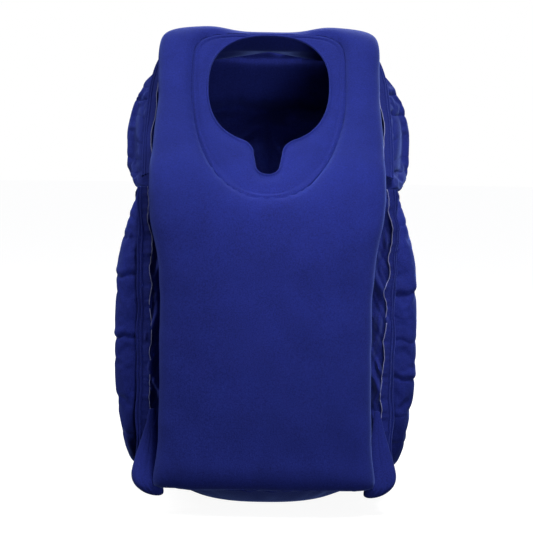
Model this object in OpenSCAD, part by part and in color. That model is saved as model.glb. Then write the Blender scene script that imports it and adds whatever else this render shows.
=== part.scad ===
// Inflatable face-down travel pillow: a hollow body of welded flocked cells.
// The sitter leans on the front cushion with the face in the cradle, and both arms go in through
// the holes in the side bolsters. X runs across, +Y to the back, +Z up. Millimetres.
// The origin is at the middle of the base, on the surface that the pillow stands on.

/* [Overall] */
// Height over the shoulders
height = 540; // [480:5:650]
// Width over the side bolsters
width = 334; // [310:2:400]
// Depth from the front cushion to the valve's cap
depth = 320; // [300:5:390]
// Thickness of the flocked sheet
skin = 0.8; // [0.5:0.1:1.2]
// Gap between neighbouring cells
gap = 1.0; // [0.6:0.2:2]

/* [Front cushion] */
// Width at the waist
front_w = 230; // [190:2:276]
// Thickness of the cushion
front_t = 72; // [56:1:86]
// How far the chest is wider than the waist, each side
chest_flare = 12; // [4:1:16]
// Lean of the face cradle from upright, in degrees
lean = 41.4; // [34:0.2:46]

/* [Face cradle] */
// Width of the weld line round the cradle
cradle_w = 175; // [160:1:190]
// Length of the cradle along its slope
cradle_l = 243; // [220:1:260]
// Width of the face opening
face_w = 138; // [112:1:150]
// Length of the face opening without its slot
face_l = 165; // [138:1:175]
// Width of the nose slot
slot_w = 30; // [20:1:36]
// Length of the nose slot
slot_l = 45; // [30:1:54]
// Thickness of the welded flange
cradle_t = 2.4; // [1.6:0.2:4]

/* [Back and base] */
// Thickness of the rear cushion
rear_t = 62; // [50:1:74]
// Width of the rear cushion
rear_w = 296; // [250:2:320]
// Height of the bulging base cell
base_h = 30; // [25:1:40]
// Width of the flat patch that the pillow stands on
foot_w = 120; // [100:2:150]
// Depth of that patch
foot_d = 110; // [90:2:130]

/* [Side bolsters] */
// Inner faces of the bolsters, from the middle
hollow_half = 96; // [84:1:104]
// Thickness of the bolster's upright limbs
limb_t = 40; // [32:1:46]
// Thickness of its upper and lower limbs
limb_h = 48; // [38:1:56]
// Rise from the cradle's lower end to the waist, where the shoulder bolster begins
waist_rise = 8; // [4:1:14]
// Width of the raw weld flange along the side seam
seam_w = 13; // [9:1:16]
// Thickness of a weld flange
seam_t = 1.6; // [1.2:0.2:2.4]

/* [Valve] */
// Radius of the socket's bore
socket_r = 20; // [17:0.5:24]
// Radius of the flange welded to the rear cushion
flange_r = 32; // [29:0.5:38]
// Height of the valve above the base of the pillow
valve_z = 112; // [95:1:150]
// Radius of the inflation bore
mouth_r = 8; // [7:0.25:9]
// Running clearance between the stopper and its socket
run = 0.08; // [0.04:0.01:0.1]

/* [Hidden] */

royal = [0.13, 0.17, 0.48];     // flocked side of the sheet
deep = [0.09, 0.12, 0.38];      // flock in the hollow and the seams
clear_blue = [0.16, 0.20, 0.45];
milk = [0.75, 0.78, 0.82];
silicone = [0.85, 0.85, 0.82];

valve_proud = 13.5;                            // how far the valve stands out of the rear cushion
front_y = -depth / 2;                        // front of the front cushion
rear_y = depth / 2 - valve_proud;            // back of the rear cushion
front_mid = front_y + front_t / 2;
rear_mid = rear_y - rear_t / 2;
cell_z = base_h + 2 * gap + seam_t;          // where the cells above the base begin
squareness = 3;                              // exponent of the cushions' sections

// The cradle's plane: slope_dir runs up it and slope_out points out of it, to the front and up.
slope_dir = [0, sin(lean), cos(lean)];
slope_out = [0, -cos(lean), sin(lean)];
crest = 9;                                   // how far the cushion stands above the cradle's plane
top_dip = 12;                                // the face opening's top edge below the shoulders
chest_bulge = 12;                            // the front's overhang past the cradle's lower end
cradle_top = [0, front_y + chest_bulge + cradle_l * sin(lean), height - top_dip];
chest_z = cradle_top.z - cradle_l * cos(lean);
waist_z = chest_z + waist_rise;

// ---------- Curves and lofts ----------

function part_power(v, p) = sign(v) * pow(abs(v), p);

// A point of a superellipse with half axes a and b and exponent n, at angle t.
function squircle(a, b, n, t) = [a * part_power(cos(t), 2 / n), b * part_power(sin(t), 2 / n)];

function key(keys, i) = keys[min(max(i, 0), len(keys) - 1)];

// Catmull-Rom blend through the rows of keys, at row i and share f of the way to the next.
function blend(keys, i, f) =
    let (a = key(keys, i - 1), b = key(keys, i), c = key(keys, i + 1), d = key(keys, i + 2))
    b + 0.5 * f * ((c - a) + f * ((2 * a - 5 * b + 4 * c - d) + f * (3 * b - a - 3 * c + d)));

function stations(keys, steps) = [
    for (i = [0 : len(keys) - 2], j = [0 : steps - 1]) blend(keys, i, j / steps),
    keys[len(keys) - 1]
];

// One closed skin through rings of points that all have the same count.
module loft(rings, closed = false) {
    n = len(rings[0]);
    m = len(rings);
    last = closed ? m - 1 : m - 2;
    sides = [
        for (i = [0 : last], j = [0 : n - 1])
            let (
                j_next = (j + 1) % n, i_next = (i + 1) % m,
                a = i * n + j, b = i * n + j_next, c = i_next * n + j, d = i_next * n + j_next
            )
            each [[a, d, c], [a, b, d]]
    ];
    ends = closed ? [] : [[for (j = [n - 1 : -1 : 0]) j], [for (j = [0 : n - 1]) (m - 1) * n + j]];
    polyhedron(points = [for (ring = rings) each ring], faces = concat(sides, ends), convexity = 6);
}

// A section across a spine in the YZ plane. A station is [y, z, lean, half width, half thickness].
function spine_ring(s, inset, sides) = [
    for (j = [0 : sides - 1])
        let (p = squircle(s[3] - inset, s[4] - inset, squareness, 360 * j / sides))
        [p.x, s[0] - p.y * cos(s[2]), s[1] + p.y * sin(s[2])]
];

// The stations with both ends drawn in by inset, along the spine.
function drawn_in(list, inset) = [
    for (i = [0 : len(list) - 1])
        let (way = i == 0 ? inset : i == len(list) - 1 ? -inset : 0, s = list[i])
        s + [way * sin(s[2]), way * cos(s[2]), 0, 0, 0]
];

module spine_cell(keys, inset, steps = 2, sides = 32) {
    loft([for (s = drawn_in(stations(keys, steps), inset)) spine_ring(s, inset, sides)]);
}

// ---------- Front cushion and face cradle ----------

front_half = front_w / 2;
core = crest - front_t / 2 + 3;              // the sloping spine, out from the cradle's plane

// A point of the sloping spine, that far down the slope from the top of the face opening.
function on_slope(down) = cradle_top - down * slope_dir + core * slope_out;

front_keys = [
    [front_mid + 2, cell_z, 0, front_half - 6, front_t / 2 - 16],
    [front_mid + 1, cell_z + 14, 0, front_half, front_t / 2 - 4],
    [front_mid, cell_z + 60, 0, front_half, front_t / 2],
    [front_mid, (cell_z + chest_z) / 2 - 10, 0, front_half, front_t / 2],
    [front_mid, chest_z - 78, 4, front_half + 3, front_t / 2],
    [front_mid + 4, chest_z - 20, 18, front_half + chest_flare, front_t / 2],
    [on_slope(200).y, on_slope(200).z, lean - 3, front_half + chest_flare, front_t / 2 - 3],
    [on_slope(130).y, on_slope(130).z, lean, front_half + 9, front_t / 2 - 3],
    [on_slope(60).y, on_slope(60).z, lean + 1, front_half + 8, front_t / 2 - 3],
    [on_slope(12).y, on_slope(12).z, lean + 14, front_half + 11, front_t / 2 - 4],
    [rear_mid - rear_t / 2 - 36, height - 26, 84, front_half + 6, 26],
    [rear_mid - rear_t / 2 - 10, height - 34, 96, front_half, 17]
];

// Half of an egg: its half height changes between the upper and the lower side.
function egg(half, up, down, n_up, n_down, count) = [
    for (j = [0 : count - 1])
        let (t = 360 * j / count, top = sin(t) >= 0)
        squircle(half, top ? up : down, top ? n_up : n_down, t)
];

cradle_mid = 65;                             // from the face opening's top to the cradle's widest place
cradle_rise = 4;                             // the weld line above the face opening
face_mid = 76;                               // from the face opening's top to its widest place

module cradle_outline(grow = 0) {
    translate([0, -cradle_mid])
        polygon(egg(
            cradle_w / 2 + grow, cradle_mid + cradle_rise + grow, cradle_l - cradle_mid + grow, 5, 2.2, 56
        ));
}

module face_outline() {
    fillet = 9;
    offset(r = -fillet, $fn = 32) offset(delta = fillet) {
        translate([0, -face_mid]) polygon(egg(face_w / 2, face_mid, face_l - face_mid, 2.4, 2.4, 48));
        hull() {
            translate([0, -face_l + 10]) circle(d = slot_w + 2, $fn = 32);
            translate([0, -face_l - slot_l + slot_w / 2]) circle(d = slot_w - 2, $fn = 32);
        }
    }
}

// Puts a drawing in the cradle's plane: its X stays across, and its Y runs up the slope.
module on_cradle() {
    multmatrix([[1, 0, 0, 0], [0, slope_dir.y, slope_out.y, cradle_top.y],
                [0, slope_dir.z, slope_out.z, cradle_top.z], [0, 0, 0, 1]]) children();
}

module cradle_prism(grow) {
    reach = front_t * 1.6;
    on_cradle() translate([0, 0, -reach]) linear_extrude(reach + 60) cradle_outline(grow);
}

module front_cushion() {
    color(royal) difference() {
        difference() { spine_cell(front_keys, 0); cradle_prism(0); }
        difference() { spine_cell(front_keys, skin); cradle_prism(skin); }
    }
}

// A flat flange of two welded sheets, hung in the cushion's opening by its edge.
module face_cradle() {
    color(royal) on_cradle() translate([0, 0, -cradle_t]) linear_extrude(cradle_t)
        difference() { cradle_outline(-0.3); face_outline(); }
}

// ---------- Rear cushion ----------

rear_half = rear_w / 2;
rear_keys = [
    [rear_mid - 2, cell_z, 0, rear_half - 20, rear_t / 2 - 14],
    [rear_mid - 1, cell_z + 14, 0, rear_half - 6, rear_t / 2 - 3],
    [rear_mid, cell_z + 40, 0, rear_half, rear_t / 2],
    [rear_mid, valve_z + flange_r + 20, 0, rear_half, rear_t / 2],
    [rear_mid, (cell_z + waist_z) / 2 + 60, 0, rear_half, rear_t / 2],
    [rear_mid - 1, waist_z, 0, rear_half - 4, rear_t / 2 - 1],
    [rear_mid - 5, height - 130, -6, rear_half - 6, rear_t / 2 - 2],
    [rear_mid - 14, height - 70, -12, rear_half - 22, rear_t / 2 - 6],
    [rear_mid - 20, height - 28, -14, rear_half - 44, rear_t / 2 - 15]
];

module rear_cell(inset) {
    spine_cell(rear_keys, inset);
}

module rear_cushion() {
    hole_r = socket_r + socket_wall + gap / 2;
    color(royal) difference() {
        rear_cell(0);
        rear_cell(skin);
        translate([0, rear_y - 4, valve_z]) rotate([-90, 0, 0]) cylinder(r = hole_r, h = 8, $fn = 64);
    }
}

// The upright strip between the rear cushion's two sheets, welded to the inner one down its middle.
module rear_tension_web() {
    web_low = valve_z + flange_r + 40;
    web_high = height - 110;
    clear = 0.4;
    color(milk) intersection() {
        translate([-skin / 2, rear_mid - rear_t, web_low]) cube([skin, 2 * rear_t, web_high - web_low]);
        rear_cell(skin + clear);
    }
}

// ---------- Base cushion ----------

base_rim = [front_half + 16, depth / 2 - 14];
base_keys = [
    [0, foot_w / 2, foot_d / 2],
    [2, foot_w / 2 + 10, foot_d / 2 + 16],
    [10, front_half - 32, depth / 2 - 58],
    [21, front_half, depth / 2 - 27],
    [base_h - 3, base_rim.x - 1, base_rim.y - 1],
    [base_h, base_rim.x, base_rim.y]
];

module base_loft(inset) {
    list = stations(base_keys, 2);
    loft([
        for (i = [0 : len(list) - 1])
            let (s = list[i], lift = i == 0 ? inset : i == len(list) - 1 ? -inset : 0)
            [
                for (j = [0 : 35])
                    let (p = squircle(s[1] - inset, s[2] - inset, 3, -10 * j))
                    [p.x, p.y, s[0] + lift]
            ]
    ]);
}

module base_cushion() {
    color(deep) difference() { base_loft(0); base_loft(skin); }
}

// The weld flange that runs round the base, squarer than the cells, so that its corners stand out.
module base_seam() {
    rim = 9;
    color(deep) translate([0, 0, base_h + gap]) linear_extrude(seam_t) difference() {
        polygon([for (j = [0 : 63]) squircle(base_rim.x + rim, base_rim.y + rim, 4.5, 360 * j / 64)]);
        polygon([for (j = [0 : 47]) squircle(base_rim.x - rim, base_rim.y - rim, 3.4, 360 * j / 48)]);
    }
}

// ---------- Side bolsters, each a ring round an arm hole ----------

ring_front = front_y + front_t - 11;         // the ring nests behind the front cushion's round edge
ring_back = rear_mid - rear_t / 2 - gap;
ring_mid_y = (ring_front + ring_back) / 2;
ring_mid_z = (cell_z + waist_z - gap) / 2;
path_y = (ring_back - ring_front - limb_t) / 2;
path_z = (waist_z - gap - cell_z - limb_h) / 2;
path_n = 3;
outer_x = width / 2;

// The ring's centre line and its outward normal, at angle t in the YZ plane.
function path_point(t) = squircle(path_y, path_z, path_n, t);
function path_normal(t) =
    let (g = [part_power(cos(t), 2 - 2 / path_n) / path_y, part_power(sin(t), 2 - 2 / path_n) / path_z])
    g / norm(g);

function ring_section(t, inset, sides) =
    let (
        c = path_point(t), n = path_normal(t),
        taper = 21 * pow(abs(c.y) / path_z, 4),
        x_out = outer_x - taper,
        half_x = (x_out - hollow_half) / 2,
        half_s = (limb_t + (limb_h - limb_t) * abs(n.y)) / 2
    )
    [
        for (j = [0 : sides - 1])
            let (p = squircle(half_x - inset, half_s - inset, 2.5, -360 * j / sides))
            [hollow_half + half_x + p.x, ring_mid_y + c.x + n.x * p.y, ring_mid_z + c.y + n.y * p.y]
    ];

module ring_cell(inset, count = 40, sides = 16) {
    loft([for (i = [0 : count - 1]) ring_section(360 * (i + 0.5) / count, inset, sides)], closed = true);
}

module side_bolster() {
    color(royal) difference() { ring_cell(0); ring_cell(skin); }
}

// The weld flange inside the arm hole.
module arm_cuff() {
    lip = 4;
    color(deep) translate([hollow_half + (outer_x - hollow_half) / 2 - seam_t / 2, ring_mid_y, ring_mid_z])
        rotate([90, 0, 90]) linear_extrude(seam_t) difference() {
            polygon([for (j = [0 : 71]) let (t = 5 * j) path_point(t) - path_normal(t) * cuff_root(t)]);
            polygon([for (j = [0 : 71]) let (t = 5 * j) path_point(t) - path_normal(t) * (cuff_root(t) + lip)]);
        }
}

// From the ring's centre line to just inside its inner wall.
function cuff_root(t) = (limb_t + (limb_h - limb_t) * abs(path_normal(t).y)) / 2 - skin;

// ---------- Shoulder bolsters ----------

// The back face of the sloping front cushion, at height z.
slope_back = cradle_top + (core - front_t / 2 + 3) * slope_out;
function slope_back_y(z) = slope_back.y - (slope_back.z - z) * tan(lean);

shoulder_in = hollow_half - 4;
shoulder_rear = ring_back - 3;
shoulder_gap = 3 * gap;
shoulder_min_t = 25;                         // the wedge between the cushions ends at this thickness
wedge_top = slope_back.z - (slope_back.y + shoulder_gap + shoulder_min_t - shoulder_rear) / tan(lean);
shoulder_top = min(height - 54, wedge_top);

function shoulder_key(z, x_out, shrink) =
    let (front = slope_back_y(z) + shoulder_gap, half_y = (shoulder_rear - front) / 2)
    [
        z, (x_out + shoulder_in) / 2, (front + shoulder_rear) / 2,
        (x_out - shoulder_in) / 2 - shrink, half_y - shrink
    ];

shoulder_rise = shoulder_top - waist_z;
shoulder_keys = [
    shoulder_key(waist_z + gap, outer_x - 16, 8),
    shoulder_key(waist_z + gap + 10, outer_x - 11, 2),
    shoulder_key(waist_z + 0.48 * shoulder_rise, outer_x - 5, 0),
    shoulder_key(waist_z + 0.75 * shoulder_rise, outer_x - 14, 0),
    shoulder_key(waist_z + 0.92 * shoulder_rise, outer_x - 32, 1),
    shoulder_key(shoulder_top, outer_x - 46, 4)
];

module shoulder_loft(inset) {
    list = stations(shoulder_keys, 2);
    loft([
        for (i = [0 : len(list) - 1])
            let (s = list[i], lift = i == 0 ? inset : i == len(list) - 1 ? -inset : 0)
            [
                for (j = [0 : 23])
                    let (p = squircle(s[3] - inset, s[4] - inset, 2.8, -15 * j))
                    [s[1] + p.x, s[2] + p.y, s[0] + lift]
            ]
    ]);
}

module shoulder_bolster() {
    color(royal) difference() { shoulder_loft(0); shoulder_loft(skin); }
}

// ---------- Weld flanges along the side seams ----------

// A ribbon of that width and thickness along path, its width turned by turn degrees from X.
module ribbon(path, w, t, turn) {
    across = [cos(turn), sin(turn), 0] * w / 2;
    through = [-sin(turn), cos(turn), 0] * t / 2;
    corners = [-across - through, -across + through, across + through, across - through];
    loft([for (p = path) [for (c = corners) p + c]]);
}

// The front seam climbs the side bolster, then follows the shoulder bolster back along the slope.
seam_x = front_half + 24;
front_seam_path = stations([
    [seam_x, ring_front - 3, cell_z + 4],
    [seam_x + 1, ring_front - 3, cell_z + 60],
    [seam_x + 1, ring_front - 3, ring_mid_z],
    [seam_x, ring_front - 3, waist_z - 30],
    [seam_x - 4, slope_back_y(waist_z + 30) - 3, waist_z + 30],
    [seam_x - 5, slope_back_y(waist_z + 80) - 3, waist_z + 80],
    [seam_x - 9, slope_back_y(shoulder_top - 12) - 3, shoulder_top - 12]
], 3);

module front_seam() {
    color(deep) ribbon(front_seam_path, seam_w, seam_t, -14);
}

rear_seam_x = rear_half - 6;
module rear_seam() {
    path = stations([
        [rear_seam_x + 12, ring_back + 6, cell_z + 8],
        [rear_seam_x + 14, ring_back + 6, ring_mid_z],
        [rear_seam_x + 8, ring_back + 5, waist_z],
        [rear_seam_x - 6, ring_back + 2, height - 90]
    ], 4);
    color(deep) ribbon(path, seam_w, seam_t, 8);
}

// The folded strip that closes the side between the front cushion and its bolster.
module gusset() {
    strip_w = 24;
    x = front_half + 3;
    y = ring_front - 2;
    top = chest_z - 98;                      // below the chest's flare
    color(deep) ribbon(stations([[x, y, cell_z + 4], [x, y, ring_mid_z], [x, y, top]], 4), strip_w, skin, 0);
}

// The weld flange across the top, between the front cushion's end and the rear cushion.
module top_seam() {
    half = front_half - 30;
    y = rear_mid - rear_t / 2 - 4;
    color(deep) translate([0, y, height - 27]) rotate([90, 0, 0]) linear_extrude(seam_t) difference() {
        polygon([for (j = [0 : 47]) squircle(half, 22, 4, 360 * j / 48)]);
        translate([-half, -30]) square([2 * half, 36]);
    }
}

// ---------- Valve ----------

socket_wall = 2;
socket_depth = 20;
flange_t = 1.2;
o_ring_r = 1.2;
head_r = socket_r + 5;
head_t = 3.5;
head_y = o_ring_r * 2;                       // the stopper's head rests on the sealing ring
nozzle_r = mouth_r + 2;
nozzle_h = 4;
stem_r = 1.2;

film = 0.3;                                  // welding film between the flange and the rear cushion
flange_y = rear_y + film + flange_t;

// Puts a part on the valve's axis: its Z points out of the rear cushion, from the flange's outer face.
module on_valve() {
    translate([0, flange_y, valve_z]) rotate([-90, 0, 0]) children();
}

module tube(r, bore, h, z = 0) {
    translate([0, 0, z]) difference() {
        cylinder(r = r, h = h, $fn = 72);
        translate([0, 0, -1]) cylinder(r = bore, h = h + 2, $fn = 72);
    }
}

module valve_base() {
    color(clear_blue) on_valve() difference() {
        union() {
            translate([0, 0, -flange_t]) cylinder(r = flange_r, h = flange_t, $fn = 96);
            translate([0, 0, -flange_t - socket_depth])
                cylinder(r = socket_r + socket_wall, h = socket_depth + 1, $fn = 72);
        }
        translate([0, 0, -flange_t - socket_depth - 1])
            cylinder(r = socket_r, h = socket_depth + flange_t + 2, $fn = 72);
    }
}

module valve_o_ring() {
    color(silicone) on_valve() translate([0, 0, o_ring_r + 0.02])
        rotate_extrude($fn = 72) translate([socket_r + 2.2, 0]) circle(r = o_ring_r, $fn = 24);
}

plug_h = 15;
seat_t = 2;                                  // the web at the stopper's inner end, which the flap closes
chamber_r = mouth_r - 2.5;                   // the narrower bore over the seat, where the flap's stem moves
chamber_top = -plug_h + 9;

module valve_stopper() {
    plug_r = socket_r - run;
    ribs = 20;
    color(clear_blue) on_valve() {
        difference() {
            union() {
                translate([0, 0, head_y + 0.06]) cylinder(r = head_r, h = head_t, $fn = 72);
                translate([0, 0, -plug_h]) cylinder(r = plug_r, h = plug_h + head_y + 1, $fn = 72);
                translate([0, 0, head_y + head_t]) cylinder(r = nozzle_r, h = nozzle_h, $fn = 72);
                for (i = [0 : ribs - 1]) rotate(360 * (i + 0.5) / ribs)
                    translate([head_r - 0.5, -1, head_y + 0.06]) cube([1.5, 2, head_t]);
            }
            translate([0, 0, -plug_h + seat_t]) cylinder(r = chamber_r, h = 10, $fn = 72);
            translate([0, 0, chamber_top])
                cylinder(r = mouth_r, h = plug_h + head_y + head_t + nozzle_h, $fn = 72);
            translate([0, 0, -plug_h - 1]) cylinder(r = stem_r, h = seat_t + 2, $fn = 36);
            for (i = [0 : 3]) rotate(90 * i + 45)
                translate([chamber_r - 1.9, 0, -plug_h - 1]) cylinder(r = 1.5, h = seat_t + 2, $fn = 36);
        }
    }
}

// The one-way flap: a disc under the stopper's seat on a stem that slides in the seat's middle hole.
module valve_membrane() {
    disc_t = 1;
    stem_h = 5.5;
    knob_t = 1.2;
    color(silicone) on_valve() translate([0, 0, -plug_h]) {
        translate([0, 0, -disc_t - 0.05]) cylinder(r = chamber_r + 2, h = disc_t, $fn = 72);
        translate([0, 0, -disc_t / 2]) cylinder(r = stem_r - 0.05, h = stem_h + 1, $fn = 36);
        translate([0, 0, stem_h]) cylinder(r = stem_r + 0.6, h = knob_t, $fn = 36);
    }
}

ring_z = head_y + head_t + 0.1;
strap_w = 9;
tab_t = 1.4;
cap_z = head_y + head_t + nozzle_h;
skirt = 1.4;                                 // how far the cap reaches down the nozzle
hinge_x = nozzle_r + 4.6;                    // the strap folds here, level with the skirt's lower edge
hinge_z = cap_z - skirt;

module valve_strap_ring() {
    color(clear_blue) on_valve() {
        tube(nozzle_r + 2, nozzle_r + 0.05, tab_t, ring_z);
        translate([nozzle_r + 1, -strap_w / 2, ring_z]) cube([hinge_x - nozzle_r - 1.6, strap_w, tab_t]);
    }
}

// The thin fold between the ring's tab and the cap's tab.
module valve_strap() {
    color(clear_blue) on_valve() translate([hinge_x - 0.4, -strap_w / 2 + 0.5, ring_z])
        cube([0.6, strap_w - 1, cap_z + 0.4 - ring_z]);
}

module valve_cap() {
    lid_r = nozzle_r + 2.2;
    lid_t = 2;
    lift_tab = 5;
    color(clear_blue) on_valve() {
        difference() {
            union() {
                translate([0, 0, hinge_z]) cylinder(r = lid_r, h = skirt + 0.1 + lid_t, $fn = 72);
                translate([nozzle_r, -strap_w / 2, cap_z + 0.5])
                    cube([hinge_x - nozzle_r + 0.3, strap_w, tab_t]);
                translate([-lid_r - lift_tab + 1, -3.5, cap_z + 0.6]) cube([lift_tab, 7, tab_t]);
            }
            translate([0, 0, hinge_z - 1]) cylinder(r = nozzle_r + 0.1, h = skirt + 1.1, $fn = 72);
        }
    }
}

// ---------- The model ----------

module left() { mirror([1, 0, 0]) children(); }

front_cushion();
face_cradle();
rear_cushion();
rear_tension_web();
base_cushion();
left() side_bolster();  // left_side_bolster
side_bolster();  // right_side_bolster
left() shoulder_bolster();  // left_shoulder_bolster
shoulder_bolster();  // right_shoulder_bolster
left() gusset();  // left_gusset
gusset();  // right_gusset
left() front_seam();  // left_front_seam
front_seam();  // right_front_seam
left() rear_seam();  // left_rear_seam
rear_seam();  // right_rear_seam
base_seam();
top_seam();
left() arm_cuff();  // left_arm_cuff
arm_cuff();  // right_arm_cuff
valve_base();
valve_o_ring();
valve_stopper();
valve_membrane();
valve_strap_ring();
valve_strap();
valve_cap();
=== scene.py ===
"""The looks of an inflatable face-down travel pillow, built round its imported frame.

+X runs to the right seen from the front, +Y to the rear cushion and +Z up, with the origin under the
middle of the base. Shapes are worked out in millimetres and become metres when a mesh is made.
Each soft CAD solid is replaced by a skin: a loft with its seams and creases. The side, shoulder and
rear cells are also blown up as cloth; the front and the base cushion are shaped by moving their points.
"""

import math

import bmesh
import bpy
import numpy as np
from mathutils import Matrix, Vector


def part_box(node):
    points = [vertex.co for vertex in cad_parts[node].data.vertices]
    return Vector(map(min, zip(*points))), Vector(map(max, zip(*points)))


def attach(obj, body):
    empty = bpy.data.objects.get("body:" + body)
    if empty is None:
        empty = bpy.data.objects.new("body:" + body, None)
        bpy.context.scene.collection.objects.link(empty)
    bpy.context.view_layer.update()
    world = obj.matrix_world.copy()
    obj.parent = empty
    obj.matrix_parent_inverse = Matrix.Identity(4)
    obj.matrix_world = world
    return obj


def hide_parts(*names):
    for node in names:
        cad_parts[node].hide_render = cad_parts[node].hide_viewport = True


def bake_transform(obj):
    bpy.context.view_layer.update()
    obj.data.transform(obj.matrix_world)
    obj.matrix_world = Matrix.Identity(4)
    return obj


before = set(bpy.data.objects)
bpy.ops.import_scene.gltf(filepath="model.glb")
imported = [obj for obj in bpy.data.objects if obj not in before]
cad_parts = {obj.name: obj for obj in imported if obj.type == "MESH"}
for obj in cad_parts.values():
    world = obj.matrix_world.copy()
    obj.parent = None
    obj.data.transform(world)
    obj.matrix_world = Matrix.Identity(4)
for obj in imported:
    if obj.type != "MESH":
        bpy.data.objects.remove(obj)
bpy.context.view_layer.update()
MM = 0.001


class Box:
    """A CAD node's box at rest, in millimetres."""

    def __init__(self, node):
        low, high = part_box(node)
        self.x0, self.y0, self.z0 = (v / MM for v in low)
        self.x1, self.y1, self.z1 = (v / MM for v in high)


FRONT, CRADLE, REAR = Box("front_cushion"), Box("face_cradle"), Box("rear_cushion")
SIDE, SHOULDER, BASE = Box("right_side_bolster"), Box("right_shoulder_bolster"), Box("base_cushion")
CUFF, BASE_SEAM, VALVE_BASE = Box("right_arm_cuff"), Box("base_seam"), Box("valve_base")


# ---------- Curves ----------


def spline(keys, per_span):
    """Rows on a smooth curve through the rows of keys."""
    k = np.asarray(keys, float)
    rows = []
    for i in range(len(k) - 1):
        a, b, c, d = k[max(i - 1, 0)], k[i], k[i + 1], k[min(i + 2, len(k) - 1)]
        for f in np.arange(per_span) / per_span:
            rows.append(b + 0.5 * f * (c - a + f * (2 * a - 5 * b + 4 * c - d + f * (3 * b - a - 3 * c + d))))
    return np.array(rows + [k[-1]])


def even(rows, count, columns=slice(None), closed=False):
    """The same curve in count rows, evenly spaced by the distance that the given columns measure."""
    rows = np.asarray(rows, float)
    if closed:
        rows = np.vstack([rows, rows[:1]])
    run = np.r_[0, np.cumsum(np.linalg.norm(np.diff(rows[:, columns], axis=0), axis=1))]
    at = np.linspace(0, run[-1], count + closed)[: count]
    return np.stack([np.interp(at, run, rows[:, c]) for c in range(rows.shape[1])], 1)


def squircle(a, b, n_plus, n_minus=None, dense=360):
    """A superellipse's points, whose exponent on the side of positive b may differ from the other."""
    t = np.linspace(0, 2 * np.pi, dense, endpoint=False)
    n = np.where(np.sin(t) >= 0, n_plus, n_minus or n_plus)

    def power(v):
        return np.sign(v) * np.abs(v) ** (2 / n)

    return np.stack([a * power(np.cos(t)), b * power(np.sin(t))], 1)


def ramp(v, low, high):
    """0 below low, 1 above high and smooth between them."""
    f = np.clip((v - low) / (high - low), 0, 1)
    return f * f * (3 - 2 * f)


def wave(s, seed, lengths=(61, 37, 23, 14)):
    """Uneven ripples along s, in millimetres, between about -1 and 1."""
    rng = np.random.default_rng(seed)
    total = sum(w ** 0.5 * np.sin(2 * np.pi * (s / w + rng.random())) for w in lengths)
    return total / sum(w ** 0.5 for w in lengths) * 1.6


# ---------- Meshes ----------


def make_mesh(name, points, faces, material):
    """A smooth-shaded mesh object from points in millimetres."""
    mesh = bpy.data.meshes.new(name)
    places = [tuple(p) for p in np.asarray(points, float) * MM]
    mesh.from_pydata(places, [], [tuple(map(int, f)) for f in faces])
    mesh.validate()
    mesh.update()
    mesh.polygons.foreach_set("use_smooth", [True] * len(mesh.polygons))
    mesh.materials.append(material)
    piece = bpy.data.objects.new(name, mesh)
    bpy.context.scene.collection.objects.link(piece)
    return piece


def grid_faces(rows, columns, around_rows=False, around_columns=True):
    """The four-sided faces of a grid of points, joined round where it closes on itself."""
    faces = []
    for i in range(rows if around_rows else rows - 1):
        for j in range(columns if around_columns else columns - 1):
            i1, j1 = (i + 1) % rows, (j + 1) % columns
            faces.append((i * columns + j, i * columns + j1, i1 * columns + j1, i1 * columns + j))
    return faces


def capped(rings, shrink):
    """The rings with both ends closed by ever smaller rings."""
    first, last = rings[0], rings[-1]
    start = [first.mean(0) + (first - first.mean(0)) * s for s in reversed(shrink)]
    end = [last.mean(0) + (last - last.mean(0)) * s for s in shrink]
    return np.concatenate([np.array(start), rings, np.array(end)])


def across_spine(section, y, z, lean):
    """A section's points put square across a spine that leans by an angle in degrees, in the YZ plane."""
    lean = math.radians(lean)
    side, front = section[:, 0], section[:, 1]
    return np.stack([side, y - front * math.cos(lean), z + front * math.sin(lean)], 1)


def closed_loft(name, rings, material):
    """A closed skin through rings, whose ends are filled with one face each."""
    rows, columns = rings.shape[:2]
    faces = grid_faces(rows, columns)
    faces += [tuple(range(columns))[::-1], tuple((rows - 1) * columns + j for j in range(columns))]
    return make_mesh(name, rings.reshape(-1, 3), faces, material)


def points_of(piece):
    out = np.empty(len(piece.data.vertices) * 3)
    piece.data.vertices.foreach_get("co", out)
    return out.reshape(-1, 3) / MM


def set_points(piece, points):
    piece.data.vertices.foreach_set("co", (np.asarray(points) * MM).ravel())
    piece.data.update()


def normals_of(piece):
    out = np.empty(len(piece.data.vertices) * 3)
    piece.data.vertices.foreach_get("normal", out)
    return out.reshape(-1, 3)


def inflate(piece, held, pressure=4.0, slack=0.03, frames=14, most=9.0):
    """Blows the piece up as cloth. held is 0 to 1 for each vertex; slack is how much the sheet grows."""
    start = points_of(piece)
    group = piece.vertex_groups.new(name="held")
    for index, value in enumerate(held):
        if value > 0.01:
            group.add([index], float(value), "REPLACE")
    cloth = piece.modifiers.new("cloth", "CLOTH")
    setup = cloth.settings
    setup.quality = 5
    setup.mass = 0.3
    setup.tension_stiffness = setup.compression_stiffness = 25
    setup.shear_stiffness = 12
    setup.bending_stiffness = 0.4
    setup.use_pressure = True
    setup.uniform_pressure_force = pressure
    setup.vertex_group_mass = "held"
    setup.shrink_min = -slack
    setup.shrink_max = -slack
    setup.effector_weights.gravity = 0
    cloth.point_cache.frame_start, cloth.point_cache.frame_end = 1, frames
    scene = bpy.context.scene
    for number in range(1, frames + 1):
        scene.frame_set(number)
    evaluated = piece.evaluated_get(bpy.context.evaluated_depsgraph_get())
    blown = np.array([v.co for v in evaluated.data.vertices]) / MM
    piece.modifiers.clear()
    piece.vertex_groups.clear()
    scene.frame_set(1)
    move = blown - start
    length = np.linalg.norm(move, axis=1, keepdims=True)
    set_points(piece, start + move * np.minimum(1, most / np.maximum(length, 1e-9)))


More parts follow.
